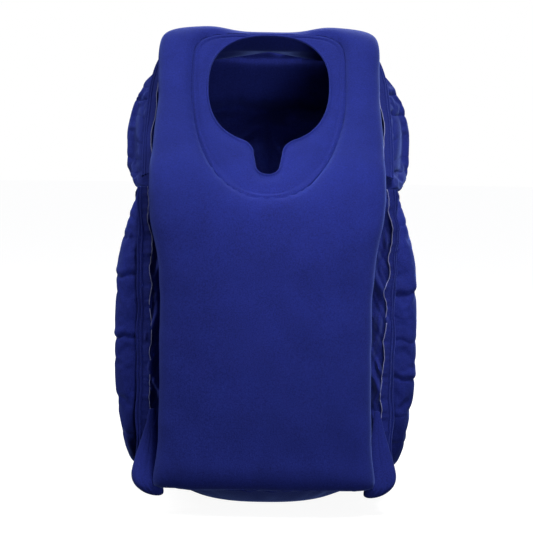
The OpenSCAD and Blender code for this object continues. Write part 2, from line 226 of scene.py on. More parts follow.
def refine(piece, levels=1):
    """Subdivides the piece's mesh for good, so that fine creases can be cut into it."""
    subdivide(piece, levels)
    evaluated = piece.evaluated_get(bpy.context.evaluated_depsgraph_get())
    fine = bpy.data.meshes.new_from_object(evaluated)
    piece.modifiers.clear()
    piece.data = fine


def subdivide(piece, levels=1):
    rounder = piece.modifiers.new("rounder", "SUBSURF")
    rounder.levels = rounder.render_levels = levels


def thicken(piece, thickness):
    """Gives a sheet its thickness, half of it on each side."""
    sheet = piece.modifiers.new("sheet", "SOLIDIFY")
    sheet.thickness, sheet.offset = thickness * MM, 0


def finish_piece(piece, slot, *nodes):
    """Makes the piece ride with the pillow, in place of the CAD nodes named; the slot argument is not used.
    """
    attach(piece, "pillow")
    if nodes:
        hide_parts(*nodes)
    return piece


# ---------- Materials ----------


def new_material(name):
    material = bpy.data.materials.new(name)
    material.use_nodes = True
    nodes, links = material.node_tree.nodes, material.node_tree.links
    return material, nodes, links, nodes["Principled BSDF"]


def noise_node(nodes, links, coordinates, scale, detail=2.0, roughness=0.5):
    """Noise whose features are about scale millimetres across."""
    noise = nodes.new("ShaderNodeTexNoise")
    noise.inputs["Scale"].default_value = 1 / (scale * MM)
    noise.inputs["Detail"].default_value = detail
    noise.inputs["Roughness"].default_value = roughness
    links.new(coordinates, noise.inputs["Vector"])
    return noise.outputs["Fac"]


def colour_band(nodes, links, factor, low, high, start=0.3, end=0.7):
    band = nodes.new("ShaderNodeValToRGB")
    band.color_ramp.elements[0].position, band.color_ramp.elements[1].position = start, end
    band.color_ramp.elements[0].color, band.color_ramp.elements[1].color = (*low, 1), (*high, 1)
    links.new(factor, band.inputs["Fac"])
    return band.outputs["Color"]


def multiplied(nodes, links, one, other):
    mix = nodes.new("ShaderNodeMix")
    mix.data_type, mix.blend_type = "RGBA", "MULTIPLY"
    mix.inputs["Factor"].default_value = 1.0
    links.new(one, mix.inputs["A"])
    links.new(other, mix.inputs["B"])
    return mix.outputs["Result"]


def bumps(nodes, links, shader, heights):
    """A chain of bumps, each (height, depth in millimetres, strength)."""
    last = None
    for height, depth, strength in heights:
        bump = nodes.new("ShaderNodeBump")
        bump.inputs["Strength"].default_value = strength
        bump.inputs["Distance"].default_value = depth * MM
        links.new(height, bump.inputs["Height"])
        if last:
            links.new(last, bump.inputs["Normal"])
        last = bump.outputs["Normal"]
    links.new(last, shader.inputs["Normal"])


def flock(name, colour):
    """Short flocked fibres on vinyl: a mottled nap, a fine grain and a soft sheen."""
    material, nodes, links, shader = new_material(name)
    where = nodes.new("ShaderNodeTexCoord").outputs["Object"]
    nap = noise_node(nodes, links, where, 38, detail=4)
    grain = noise_node(nodes, links, where, 1.5, detail=3, roughness=0.7)
    fibres = noise_node(nodes, links, where, 0.5, detail=2)
    base = colour_band(nodes, links, nap, [0.93 * c for c in colour], [1.07 * c for c in colour], 0.35, 0.65)
    speckle = colour_band(nodes, links, grain, (0.66, 0.66, 0.7), (1.34, 1.34, 1.3), 0.3, 0.7)
    links.new(multiplied(nodes, links, base, speckle), shader.inputs["Base Color"])
    shader.inputs["Roughness"].default_value = 0.92
    shader.inputs["Specular IOR Level"].default_value = 0.12
    shader.inputs["Sheen Weight"].default_value = 0.34
    shader.inputs["Sheen Roughness"].default_value = 0.4
    shader.inputs["Sheen Tint"].default_value = (0.22, 0.34, 1.0, 1)
    bumps(nodes, links, shader, [(nap, 0.8, 0.2), (grain, 0.35, 0.5), (fibres, 0.15, 0.4)])
    return material


def vinyl(name, colour, roughness):
    """Smooth soft plastic, slightly clouded."""
    material, nodes, links, shader = new_material(name)
    where = nodes.new("ShaderNodeTexCoord").outputs["Object"]
    cloud = noise_node(nodes, links, where, 9, detail=3)
    tint = colour_band(nodes, links, cloud, [0.9 * c for c in colour], [1.08 * c for c in colour])
    links.new(tint, shader.inputs["Base Color"])
    shader.inputs["Roughness"].default_value = roughness
    shader.inputs["Coat Weight"].default_value = 0.15
    bumps(nodes, links, shader, [(cloud, 0.2, 0.12)])
    return material


ROYAL = (0.0100, 0.0168, 0.152)
FLOCK = flock("flocked royal", ROYAL)
FLANGE = flock("flocked flange", [0.86 * c for c in ROYAL])
RAW_EDGE = vinyl("raw cut edge", (0.2, 0.23, 0.42), 0.6)
FILM = vinyl("bare film", (0.62, 0.66, 0.74), 0.4)
VALVE = vinyl("valve vinyl", (0.035, 0.055, 0.26), 0.3)
SILICONE = vinyl("silicone", (0.66, 0.66, 0.6), 0.45)


# ---------- The face cradle's plane ----------

LEAN = math.radians(41.4)                # the cradle's lean from upright
CRADLE_T = 2.4                           # its flange's thickness
CRADLE_RISE = 3.7                        # its top edge above the face opening
UP_SLOPE = np.array([0, math.sin(LEAN), math.cos(LEAN)])
OUT_SLOPE = np.array([0, -math.cos(LEAN), math.sin(LEAN)])
CRADLE_TOP = np.array([
    0,
    CRADLE.y1 - CRADLE_RISE * math.sin(LEAN) - CRADLE_T * math.cos(LEAN),
    CRADLE.z1 - CRADLE_RISE * math.cos(LEAN),
])
CRADLE_W, CRADLE_L, CRADLE_MID = 175, 243, 65
FACE_W, FACE_L, FACE_MID = 138, 165, 76
SLOT_W, SLOT_L, SLOT_FILLET = 30, 45, 12


def on_slope(across, down, out):
    """Points from their place on the cradle's plane."""
    across, down, out = np.broadcast_arrays(across, down, out)
    sideways = across[..., None] * np.array([1, 0, 0])
    return CRADLE_TOP + sideways - down[..., None] * UP_SLOPE + out[..., None] * OUT_SLOPE


def cradle_outline(count):
    """The weld line round the cradle, as (across, down)."""
    t = np.linspace(0, 2 * np.pi, 720, endpoint=False)
    top = np.sin(t) >= 0
    n = np.where(top, 5, 2.2)
    half = np.where(top, CRADLE_MID + CRADLE_RISE, CRADLE_L - CRADLE_MID)
    across = CRADLE_W / 2 * np.sign(np.cos(t)) * np.abs(np.cos(t)) ** (2 / n)
    up = half * np.sign(np.sin(t)) * np.abs(np.sin(t)) ** (2 / n)
    return even(np.stack([across, CRADLE_MID - up], 1), count, closed=True)


def face_outline(count):
    """The face opening with its nose slot, as (across, down), from the middle of the top."""
    n = 2.4
    half, slot = FACE_W / 2, SLOT_W / 2
    start = slot + SLOT_FILLET + 4
    t = np.linspace(np.pi / 2, -np.pi / 2, 400)
    across = half * np.abs(np.cos(t)) ** (2 / n)
    reach = np.where(t > 0, FACE_MID, FACE_L - FACE_MID)
    down = FACE_MID - np.sign(np.sin(t)) * np.abs(np.sin(t)) ** (2 / n) * reach
    egg = np.stack([across, down], 1)[(t > 0) | (across > start)]
    corner = np.array([slot + 1.5, egg[-1, 1] + 6])
    f = np.linspace(0, 1, 14)[1:, None]
    leave = corner + [0, SLOT_FILLET + 4]
    bend = (1 - f) ** 2 * egg[-1] + 2 * f * (1 - f) * corner + f ** 2 * leave
    tip = FACE_L + SLOT_L
    end_r = slot - 1
    a = np.linspace(0, np.pi / 2, 14)
    tongue = np.stack([end_r * np.cos(a), tip - end_r + end_r * np.sin(a)], 1)
    right = np.vstack([egg, bend, tongue])
    left = right[::-1] * [-1, 1]
    return even(np.vstack([right, left[1:-1]]), count, closed=True)


def outside(across, down, outline):
    """Signed distance of points from a closed outline, positive outside, and the nearest outline point."""
    p = np.stack([across, down], 1)
    away = np.empty(len(p))
    nearest = np.empty_like(p)
    a = outline
    b = np.roll(outline, -1, 0)
    for lot in np.array_split(np.arange(len(p)), max(1, len(p) // 2000)):
        q = p[lot][:, None]
        f = np.clip(((q - a) * (b - a)).sum(2) / ((b - a) ** 2).sum(1), 0, 1)[..., None]
        foot = a + f * (b - a)
        gap = np.linalg.norm(q - foot, axis=2)
        k = gap.argmin(1)
        away[lot] = gap[np.arange(len(lot)), k]
        nearest[lot] = foot[np.arange(len(lot)), k]
        crosses = (a[:, 1] > q[..., 1]) != (b[:, 1] > q[..., 1])
        step = np.where(b[:, 1] == a[:, 1], 1e-9, b[:, 1] - a[:, 1])
        left_of = q[..., 0] < (b[:, 0] - a[:, 0]) * (q[..., 1] - a[:, 1]) / step + a[:, 0]
        inside = (crosses & left_of).sum(1) % 2 == 1
        away[lot] *= np.where(inside, -1, 1)
    return away, nearest


# ---------- Front cushion ----------

FRONT_T = 72
FRONT_MID = FRONT.y0 + FRONT_T / 2
CORE = 9 - FRONT_T / 2 + 3               # the sloping spine, out from the cradle's plane
CREST = 30                               # width of the roll beside the cradle's weld line


def front_keys():
    """Rows of y, z, lean in degrees, half width and half thickness, from the bottom to the top end."""
    lean = math.degrees(LEAN)
    slope = [on_slope(0, down, CORE)[1:] for down in (205, 168, 130, 95, 60, 12)]
    half = FRONT_T / 2
    bottom = FRONT.z0
    return [
        [FRONT_MID + 2, bottom - 5, 0, 119, half - 11],
        [FRONT_MID + 1, bottom + 3, 0, 121, half - 3],
        [FRONT_MID, bottom + 18, 0, 119.5, half],
        [FRONT_MID, bottom + 42, 0, 116.5, half],
        [FRONT_MID, bottom + 100, 0, 115, half],
        [FRONT_MID, bottom + 160, 0, 114.6, half],
        [FRONT_MID, bottom + 212, 0, 115.4, half],
        [FRONT_MID, bottom + 246, 4, 118, half],
        [FRONT_MID + 4, bottom + 292, 18, 127, half],
        [*slope[0], lean - 4, 128.5, half + 1],
        [*slope[1], lean, 128, half],
        [*slope[2], lean, 127, half - 1.5],
        [*slope[3], lean, 125.5, half - 3],
        [*slope[4], lean + 1, 126, half - 3],
        [*slope[5], lean + 14, 127.5, half - 4],
        [FRONT.y1 - 28, FRONT.z1 - 26, 84, 124, 26],
        [FRONT.y1 - 2, FRONT.z1 - 34, 96, 115, 17],
    ]


def front_cushion():
    """The front cell: a loft up the chest and back over the shoulders, pinched at the cradle's weld line."""
    rows = even(spline(front_keys(), 12), 150, slice(0, 2))
    columns = 176
    rings = []
    for y, z, lean, half_w, half_t in rows:
        section = even(squircle(half_w, half_t, 4.4, 3), columns, closed=True)
        rings.append(across_spine(section, y, z, lean))
    rings = np.array(rings)
    front_side = np.tile(squircle_side(columns), len(rings))
    rings = rings.reshape(-1, 3)

    # The top dips behind the face opening, between the two shoulders.
    dip = 8.5 * np.exp(-((rings[:, 0] / 52) ** 4)) * ramp(rings[:, 2], FRONT.z1 - 40, FRONT.z1 - 8)
    rings[:, 2] -= dip

    # Both sheets come together on the cradle's weld line.
    rel = rings - CRADLE_TOP
    across, down, out = rel[:, 0], -(rel @ UP_SLOPE), rel @ OUT_SLOPE
    outline = cradle_outline(300)
    away, nearest = outside(across, down, outline)
    snap = 2.3
    on_line = (np.abs(away) < snap) & (out > -90)
    across, down = np.where(on_line, nearest[:, 0], across), np.where(on_line, nearest[:, 1], down)
    away = np.where(on_line, 0, away)
    for side, width, level in ((front_side, CREST, -0.6), (~front_side, 44, -CRADLE_T + 0.4)):
        f = np.clip(away / width, 0, 1)
        roll = np.sqrt(1 - (1 - f) ** 2)
        out = np.where(side & (away < width), level + (out - level) * roll, out)
    points = on_slope(across, down, out)
    points = np.where((away < 46)[:, None], points, rings)

    faces = [f for f in grid_faces(len(rows), columns) if max(away[list(f)]) > 0.01]
    ends = [tuple(range(columns))[::-1], tuple((len(rows) - 1) * columns + j for j in range(columns))]
    used = sorted({v for f in faces + ends for v in f})
    renumber = {v: i for i, v in enumerate(used)}
    faces = [tuple(renumber[v] for v in f) for f in faces + ends]
    piece = make_mesh("front_cushion_skin", points[used], faces, FLOCK)
    soften_front(piece)
    subdivide(piece)
    return finish_piece(piece, "flocked_sheet", "front_cushion")


def squircle_side(columns):
    """True for the ring's columns on the front side."""
    return even(squircle(1, 1, 3), columns, closed=True)[:, 1] > 0


def soften_front(piece):
    """Shallow dimples of a cushion that is nearly tight, deeper beside its edges."""
    p, n = points_of(piece), normals_of(piece)
    edge = ramp(np.abs(p[:, 0]), 70, 112)
    low = 1 - ramp(p[:, 2], 45, 110)
    dent = 0.5 * wave(p[:, 2] + 0.6 * p[:, 0], 3, (170, 90, 60)) * wave(p[:, 0] + 20, 4, (150, 90))
    dent += edge * 0.35 * wave(p[:, 2], 5, (90, 53, 31)) + 0.5 * low * wave(p[:, 0], 6, (90, 47, 31))
    set_points(piece, p + n * dent[:, None] * ramp(-p[:, 1], -60, 20)[:, None])


# ---------- Face cradle ----------


def face_cradle():
    """The welded flange, with a double weld line near its rim and a soft raised lip at the opening."""
    count, steps = 320, 22
    inner = face_outline(count)
    outer = matched(inner, cradle_outline(count), count)
    reach = np.linalg.norm(outer - inner, axis=1)
    profile = []
    for k in range(steps + 1):
        f = (k / steps) ** 1.05
        flat = inner + (outer - inner) * f
        rim = reach * (1 - f)
        hole = reach * f
        puff = 1.5 * ramp(hole, 3, 16) * ramp(rim, 7, 22)
        welds = 0.9 * np.exp(-((rim - 1.2) / 1.1) ** 2) + 0.8 * np.exp(-((rim - 7.2) / 1.0) ** 2)
        band = 0.6 * ramp(rim, 1.5, 3) * (1 - ramp(rim, 5, 6.6))
        profile.append(on_slope(flat[:, 0], flat[:, 1], -0.5 + puff + band - welds))
    lip = []
    radius = 1.5
    for a in np.radians([-150, -110, -70, -30, 10, 50, 90, 130]):
        out = radius * math.sin(a) - 0.5
        shift = -radius * math.cos(a) * 0.9
        grown = inner + inward(inner) * -shift
        lip.append(on_slope(grown[:, 0], grown[:, 1], out))
    back = [on_slope(*(inner + (outer - inner) * f).T, -CRADLE_T) for f in np.linspace(1, 0.03, 12)]
    rings = np.array(lip + profile[1:] + back)
    piece = make_mesh("face_cradle_flange", rings.reshape(-1, 3), grid_faces(len(rings), count, True), FLOCK)
    subdivide(piece)
    return finish_piece(piece, "flocked_sheet", "face_cradle")


def inward(outline):
    """Unit vectors pointing into a closed outline that runs clockwise seen with down as -Y."""
    along = np.roll(outline, -1, 0) - np.roll(outline, 1, 0)
    along /= np.linalg.norm(along, axis=1, keepdims=True)
    side = np.stack([-along[:, 1], along[:, 0]], 1)
    middle = outline.mean(0)
    return side * np.sign(((middle - outline) * side).sum(1).mean())


def matched(inner, outer, count):
    """The outer outline's points that face the inner ones, half by bearing and half by run."""
    centre = np.array([0, 92])

    def bearing(outline):
        return np.unwrap(np.arctan2(outline[:, 0] - centre[0], -(outline[:, 1] - centre[1])))

    inner_a = bearing(inner)
    if np.diff(bearing(outer)).mean() * np.diff(inner_a).mean() < 0:
        outer = outer[::-1]
    outer_a = bearing(outer)
    start = int(np.argmin(np.abs(np.angle(np.exp(1j * (outer_a - inner_a[0]))))))
    outer = np.roll(outer, -start, 0)
    outer_a = bearing(outer)
    outer_a = outer_a - 2 * np.pi * round((outer_a[0] - inner_a[0]) / (2 * np.pi))
    ring = np.vstack([outer, outer[:1]])
    run = np.arange(count + 1) / count
    way = np.sign(outer_a[-1] - outer_a[0])
    by_bearing = np.interp(way * inner_a, way * outer_a, run[:-1])
    at = 0.55 * by_bearing + 0.45 * np.arange(count) / count
    return np.stack([np.interp(at, run, ring[:, c]) for c in (0, 1)], 1)


# ---------- Side bolsters, each a ring round an arm hole ----------

HOLLOW_HALF = SIDE.x0                    # the bolsters' inner faces
LIMB_T, LIMB_H = 40, 48                  # thickness of the upright and of the level limbs
RING_Y, RING_Z = (SIDE.y0 + SIDE.y1) / 2, (SIDE.z0 + SIDE.z1) / 2
PATH_Y = (SIDE.y1 - SIDE.y0 - LIMB_T) / 2
PATH_Z = (SIDE.z1 - SIDE.z0 - LIMB_H) / 2
PATH_N = 3
SWELL = 1.5                              # how far the bolsters' outer faces swell
SEAM_X = 140                             # the weld line along the front of each bolster
BOLSTER_CREASES = {                      # height, depth and length of each crease from the front seam
    "left": [(338, 1.8, 14), (329, 1.5, 12), (318, 2.6, 60), (307, 1.3, 12), (299, 2.2, 50), (283, 1.2, 12),
             (259, 3.4, 90), (228, 1.2, 10), (190, 3.6, 120), (150, 1.0, 9), (120, 1.2, 12), (78, 1.8, 18)],
    "right": [(334, 2.0, 18), (315, 2.4, 40), (288, 1.6, 16), (262, 1.4, 12), (240, 3.4, 100), (214, 1.2, 10),
              (190, 1.8, 24), (148, 3.6, 120), (104, 1.4, 14), (72, 2.2, 20)],
}


def ring_frame(count):
    """Centre points, outward normals and half thicknesses along the ring's path, in Y and Z."""
    c = even(squircle(PATH_Y, PATH_Z, PATH_N), count, closed=True)
    power = PATH_N - 1
    n = np.stack([np.sign(c[:, 0]) * (np.abs(c[:, 0]) / PATH_Y) ** power / PATH_Y,
                  np.sign(c[:, 1]) * (np.abs(c[:, 1]) / PATH_Z) ** power / PATH_Z], 1)
    n /= np.linalg.norm(n, axis=1, keepdims=True)
    half = (LIMB_T + (LIMB_H - LIMB_T) * np.abs(n[:, 1])) / 2
    return c, n, half


def side_bolster(side):
    """The ring-shaped cell round an arm hole, held at its weld lines while it is blown up."""
    count, columns = 150, 48
    c, n, half = ring_frame(count)
    taper = np.where(c[:, 1] > 0, 17, 12) * (np.abs(c[:, 1]) / PATH_Z) ** 4
    half_x = (SIDE.x1 - SWELL - taper - HOLLOW_HALF) / 2
    points, seam, welded = [], [], []
    for k in range(count):
        ring = even(squircle(half_x[k], half[k], 3.0), columns, closed=True)
        x = HOLLOW_HALF + half_x[k] + ring[:, 0]
        y = RING_Y + c[k, 0] + n[k, 0] * ring[:, 1]
        z = RING_Z + c[k, 1] + n[k, 1] * ring[:, 1]
        points.append(np.stack([x, y, z], 1))
        upright = abs(n[k, 0]) > 0.55
        seam.append(np.where((ring[:, 1] > 0) & upright, np.abs(x - SEAM_X), 99))
        welded.append(np.where(ring[:, 1] < 0, np.abs(ring[:, 0]), 99))
    points = np.concatenate(points)
    faces = grid_faces(count, columns, True)
    if side == "left":
        points, faces = points * [-1, 1, 1], [f[::-1] for f in faces]
    piece = make_mesh(side + "_side_bolster_skin", points, faces, FLOCK)
    held = np.maximum(np.concatenate(seam) < 2.6, np.concatenate(welded) < 3).astype(float)
    inflate(piece, held, pressure=3.0, slack=0.03, frames=16, most=4)
    refine(piece, 2)
    crease(piece, BOLSTER_CREASES[side])
    return finish_piece(piece, "flocked_sheet", side + "_side_bolster")


def crease(piece, creases):
    """Sharp tucks that run outward from the front seam and fade."""
    p, n = points_of(piece), normals_of(piece)
    x = np.abs(p[:, 0])
    for number, (height, depth, length) in enumerate(creases):
        level = height + 0.1 * (x - SEAM_X) * math.sin(7 * number) + 1.2 * wave(x, number, (31, 17))
        reach = np.exp(-np.clip(x - SEAM_X, 0, None) / length) * ramp(x, SEAM_X - 22, SEAM_X - 4)
        front = ramp(-n[:, 1], -0.35, 0.25)
        tuck = np.exp(-np.abs(p[:, 2] - level) / 1.7) - 0.4 * np.exp(-(((p[:, 2] - level) - 6) / 4.5) ** 2)
        p -= n * (depth * tuck * reach * front)[:, None]
    set_points(piece, p)


# ---------- Shoulder bolsters ----------

SLOPE_BACK = on_slope(0, 0, CORE - FRONT_T / 2 + 3)
SHOULDER_CREASES = {                     # height, depth and length of each crease, as above
    "left": [(468, 2.6, 20), (452, 3.2, 40), (432, 1.4, 12), (403, 1.6, 14), (384, 2.2, 24), (371, 2.4, 30)],
    "right": [(462, 2.4, 16), (438, 3.2, 40), (410, 1.5, 12), (388, 1.6, 14), (374, 2.6, 30)],
}


def slope_back_y(z):
    """The sloping front cushion's back face, at height z."""
    return SLOPE_BACK[1] - (SLOPE_BACK[2] - z) * math.tan(LEAN)


def shoulder_bolster(side):
    """The wedge-shaped cell behind the sloping front cushion."""
    low, high = SHOULDER.z0, SHOULDER.z1
    rise = high - low
    x_in, x_out, y_back = SHOULDER.x0, SHOULDER.x1, SHOULDER.y1

    def key(z, outer, shrink, forward=3):
        front = slope_back_y(z) + forward
        half_x, half_y = (outer - x_in) / 2, (y_back - front) / 2
        return [z, (outer + x_in) / 2, (front + y_back) / 2, half_x - shrink, half_y - shrink]

    keys = [
        key(low - 4, x_out - 20, 13), key(low - 2, x_out - 11, 5), key(low + 7, x_out - 7, 0),
        key(low + 0.3 * rise, x_out - 3, 0), key(low + 0.5 * rise, x_out - 0.5, 0),
        key(low + 0.72 * rise, x_out - 5, 0), key(low + 0.88 * rise, x_out - 14, 0),
        key(high, x_out - 25, 1), key(high + 9, x_out - 36, 5, 5), key(high + 13, x_out - 46, 10, 5),
    ]
    rows = even(spline(keys, 10), 62, slice(0, 4))
    columns = 76
    rings = []
    for z, mid_x, mid_y, half_x, half_y in rows:
        ring = even(squircle(half_x, half_y, 2.9), columns, closed=True)
        rings.append(np.stack([mid_x + ring[:, 0], mid_y + ring[:, 1], np.full(columns, z)], 1))
    rings = capped(np.array(rings), (0.8, 0.5, 0.2))
    if side == "left":
        rings = (rings * [-1, 1, 1])[:, ::-1]
    piece = closed_loft(side + "_shoulder_bolster_skin", rings, FLOCK)
    p = points_of(piece)
    x = np.abs(p[:, 0])
    front = p[:, 1] < slope_back_y(p[:, 2]) + 9
    held = (front & (np.abs(x - SEAM_X + 3) < 3)) | (np.abs(p[:, 1] - y_back + 1) < 2) & (np.abs(x - 132) < 3)
    inflate(piece, held.astype(float), pressure=3.5, slack=0.05, frames=16, most=8)
    refine(piece, 2)
    crease(piece, SHOULDER_CREASES[side])
    return finish_piece(piece, "flocked_sheet", side + "_shoulder_bolster")


# ---------- Rear cushion and its tension web's weld line ----------

REAR_HALF_T = 31
WEB_HALF = 0.4
VALVE_Z = (VALVE_BASE.z0 + VALVE_BASE.z1) / 2
VALVE_R = VALVE_BASE.x1                  # the valve flange's radius


def rear_cushion():
    """The tall rear cell, drawn in along its web and tucked in behind the face opening."""
    half_w, half_t = REAR.x1, REAR_HALF_T
    mid, low, high = REAR.y1 - half_t, REAR.z0, REAR.z1
    keys = [
        [mid - 2, low - 1, 0, half_w - 28, half_t - 18], [mid - 1, low + 8, 0, half_w - 12, half_t - 7],
        [mid, low + 24, 0, half_w - 3, half_t], [mid, low + 90, 0, half_w, half_t],
        [mid, low + 190, 0, half_w, half_t], [mid - 1, low + 312, 0, half_w - 4, half_t - 1],
        [mid - 5, low + 376, -6, half_w - 6, half_t - 2], [mid - 14, low + 436, -12, half_w - 22, half_t - 6],
        [mid - 20, high, -14, half_w - 44, half_t - 15], [mid - 21, high + 6, -14, half_w - 60, half_t - 24],
    ]
    rows = even(spline(keys, 10), 112, slice(0, 2))
    columns = 132
    rings = []
    for y, z, lean, wide, thick in rows:
        section = even(squircle(wide, thick, 3.4), columns, closed=True)
        rings.append(across_spine(section, y, z, lean))
    rings = capped(np.array(rings), (0.9, 0.7, 0.4, 0.15))
    piece = closed_loft("rear_cushion_skin", rings, FLOCK)
    p = points_of(piece)
    on_web = (np.abs(p[:, 0]) < 2.6) & (p[:, 2] > 186) & (p[:, 2] < 428)
    on_valve = np.hypot(p[:, 0], p[:, 2] - VALVE_Z) < VALVE_R + 3
    on_edge = np.abs(np.abs(p[:, 0]) - (half_w - 4)) < 3
    held = on_web | (on_valve & (p[:, 1] > mid)) | (on_edge & (p[:, 2] < 470))
    p[:, 1] += np.where(on_web, np.where(p[:, 1] < mid, 5.5, -5.5), 0)
    set_points(piece, p)
    inflate(piece, held.astype(float), pressure=3.5, slack=0.03, frames=14, most=7)
    refine(piece)
    p = points_of(piece)
    groove = np.exp(-np.abs(p[:, 0]) / 5.0) * ramp(p[:, 2], 180, 205) * (1 - ramp(p[:, 2], 405, 434))
    p[:, 1] += groove * np.where(p[:, 1] < mid, 4, -4)
    inner = (p[:, 1] < mid) * (1 - ramp(np.abs(p[:, 0]), 60, 105))
    level = p[:, 2] - 444 - 2 * wave(p[:, 0], 9)
    tuck = np.exp(-(level / 9) ** 2) - 0.5 * np.exp(-((level - 34) / 26) ** 2)
    dimple = np.exp(-((p[:, 2] - 436) / 11) ** 2 - ((p[:, 0] - 6) / 17) ** 2)
    p[:, 1] += (13 * tuck + 11 * dimple) * inner
    flat = (p[:, 1] > mid) * (1 - ramp(np.hypot(p[:, 0], p[:, 2] - VALVE_Z), VALVE_R, VALVE_R + 14))
    p[:, 1] += flat * (np.minimum(p[:, 1], REAR.y1 - 0.3) - p[:, 1])
    set_points(piece, p)
    open_round_valve(piece)
    subdivide(piece)
    return finish_piece(piece, "flocked_sheet", "rear_cushion")


def open_round_valve(piece):
    """Cuts the skin away under the valve's flange, where the socket passes through it."""
    mesh = bmesh.new()
    mesh.from_mesh(piece.data)
    gone = []
    for face in mesh.faces:
        x, y, z = (v / MM for v in face.calc_center_median())
        if y > REAR.y1 - REAR_HALF_T and math.hypot(x, z - VALVE_Z) < VALVE_R - 5:
            gone.append(face)
    bmesh.ops.delete(mesh, geom=gone, context="FACES")
    mesh.to_mesh(piece.data)
    mesh.free()


def tension_web():
    """The sheet inside the rear cushion that holds its faces together along the weld line."""
    z = np.linspace(196, 418, 60)
    mid = REAR.y1 - REAR_HALF_T
    f = np.linspace(-1, 1, 9)
    grid = np.zeros((len(z), len(f), 3))
    grid[:, :, 0] = (1.4 * wave(z, 95, (90, 57)))[:, None] * (1 - f ** 2)[None, :]
    grid[:, :, 1] = mid + f * (REAR_HALF_T - 14)
    grid[:, :, 2] = z[:, None]
    faces = grid_faces(len(z), len(f), False, False)
    piece = make_mesh("rear_tension_web_film", grid.reshape(-1, 3), faces, FILM)
    thicken(piece, 2 * WEB_HALF)
    return finish_piece(piece, "bare_film", "rear_tension_web")


# ---------- Base cushion, its seam and the pinched corners ----------


def base_cushion():
    """The bulging cell under the pillow, flat where it stands and puckered at its rim."""
    high = BASE.z1
    half_x, half_y = BASE.x1, BASE.y1
    keys = [
        [0, 30, 30], [0.2, 52, 50], [3.2, 66, 78], [9, 84, 104], [15.5, 98, 119], [22, 112, 131],
        [27, 122, 139], [high - 0.6, 127, 143], [high, 120, 138],
    ]
    rows = even(spline(keys, 8), 44)
    columns = 130
    rings = []
    for z, wide, deep in rows:
        ring = even(squircle(min(wide, half_x), min(deep, half_y), 2.5), columns, closed=True)[::-1]
        rings.append(np.stack([ring[:, 0], ring[:, 1], np.full(columns, z)], 1))
    rings = capped(np.array(rings), (0.85, 0.6, 0.3))
    rings[:, :, 2] = np.clip(rings[:, :, 2], 0, high)
    piece = closed_loft("base_cushion_skin", rings, FLOCK)
    p, n = points_of(piece), normals_of(piece)
    angle = np.arctan2(p[:, 1], p[:, 0])
    rim = np.hypot(p[:, 0] / half_x, p[:, 1] / half_y)
    p += n * (1.4 * ramp(rim, 0.75, 0.95) * wave(angle * 130, 12, (43, 27, 19, 12)))[:, None]
    p[:, 2] = np.clip(p[:, 2], 0, high)
    set_points(piece, p)
    subdivide(piece)
    return finish_piece(piece, "flocked_sheet", "base_cushion")


FLANGE_T = 1.0                           # thickness of a weld flange
STRIP_T = 0.8                            # thickness of a single sheet


def frill(name, weld, out, up, width, lift):
    """A weld flange: a sheet from its weld line to its raw edge, which waves."""
    steps = 7
    f = np.linspace(0, 1, steps)[None, :, None]
    width, lift = np.broadcast_to(width, len(weld)), np.broadcast_to(lift, len(weld))
    grid = weld[:, None] + out[:, None] * width[:, None, None] * f
    grid = grid + up[:, None] * lift[:, None, None] * f ** 1.6
    piece = make_mesh(name, grid.reshape(-1, 3), grid_faces(len(weld), steps, False, False), FLANGE)
    thicken(piece, FLANGE_T)
    subdivide(piece)
    return piece, grid[:, -1]


def tube_rings(line, radius, sides):
    """Rings of points round a line."""
    along = np.gradient(line, axis=0)
    along /= np.linalg.norm(along, axis=1, keepdims=True)
    one = np.cross(along, [0.3, 0.2, 0.9])
    one /= np.linalg.norm(one, axis=1, keepdims=True)
    two = np.cross(along, one)
    a = np.linspace(0, 2 * np.pi, sides, endpoint=False)[None, :, None]
    return line[:, None] + radius * (np.cos(a) * one[:, None] + np.sin(a) * two[:, None])


def raw_edge(name, line, radius=0.42, sides=6):
    """The pale cut edge along a flange."""
    return finish_piece(closed_loft(name, tube_rings(line, radius, sides), RAW_EDGE), "bare_film")


def mirrored(points, side):
    """The points of the right side as they are, or in their mirror image for the left."""
    return points * [-1, 1, 1] if side == "left" else points


RAW_EDGE_LINE = {                        # height, distance of the raw edge from the middle, how far it lifts
    "right": [
        (36, 131, 4), (50, 133, 3), (73, 128, 4), (92, 130, 2), (124, 127, 4), (150, 129, 2), (200, 131, 3),
        (228, 132, 2), (246, 130, 4), (266, 135, 1), (282, 134, 3), (304, 137, 2), (330, 134, 4),
        (356, 130, 3),
    ],
    "left": [
        (36, 129, 4), (50, 131, 2), (72, 129, 4), (94, 126.5, 2), (140, 126.5, 3), (202, 125.5, 4),
        (225, 127, 1.5), (246, 126.5, 4), (276, 127, 2), (285, 125, 5), (305, 127, 2), (326, 130, 3),
        (356, 130, 3),
    ],
}


def welt(name, line, radius=1.3, sides=8):
    """The soft ridge that a weld line leaves beside it."""
    piece = closed_loft(name, tube_rings(line, radius, sides), FLANGE)
    return finish_piece(piece, "weld_flange")


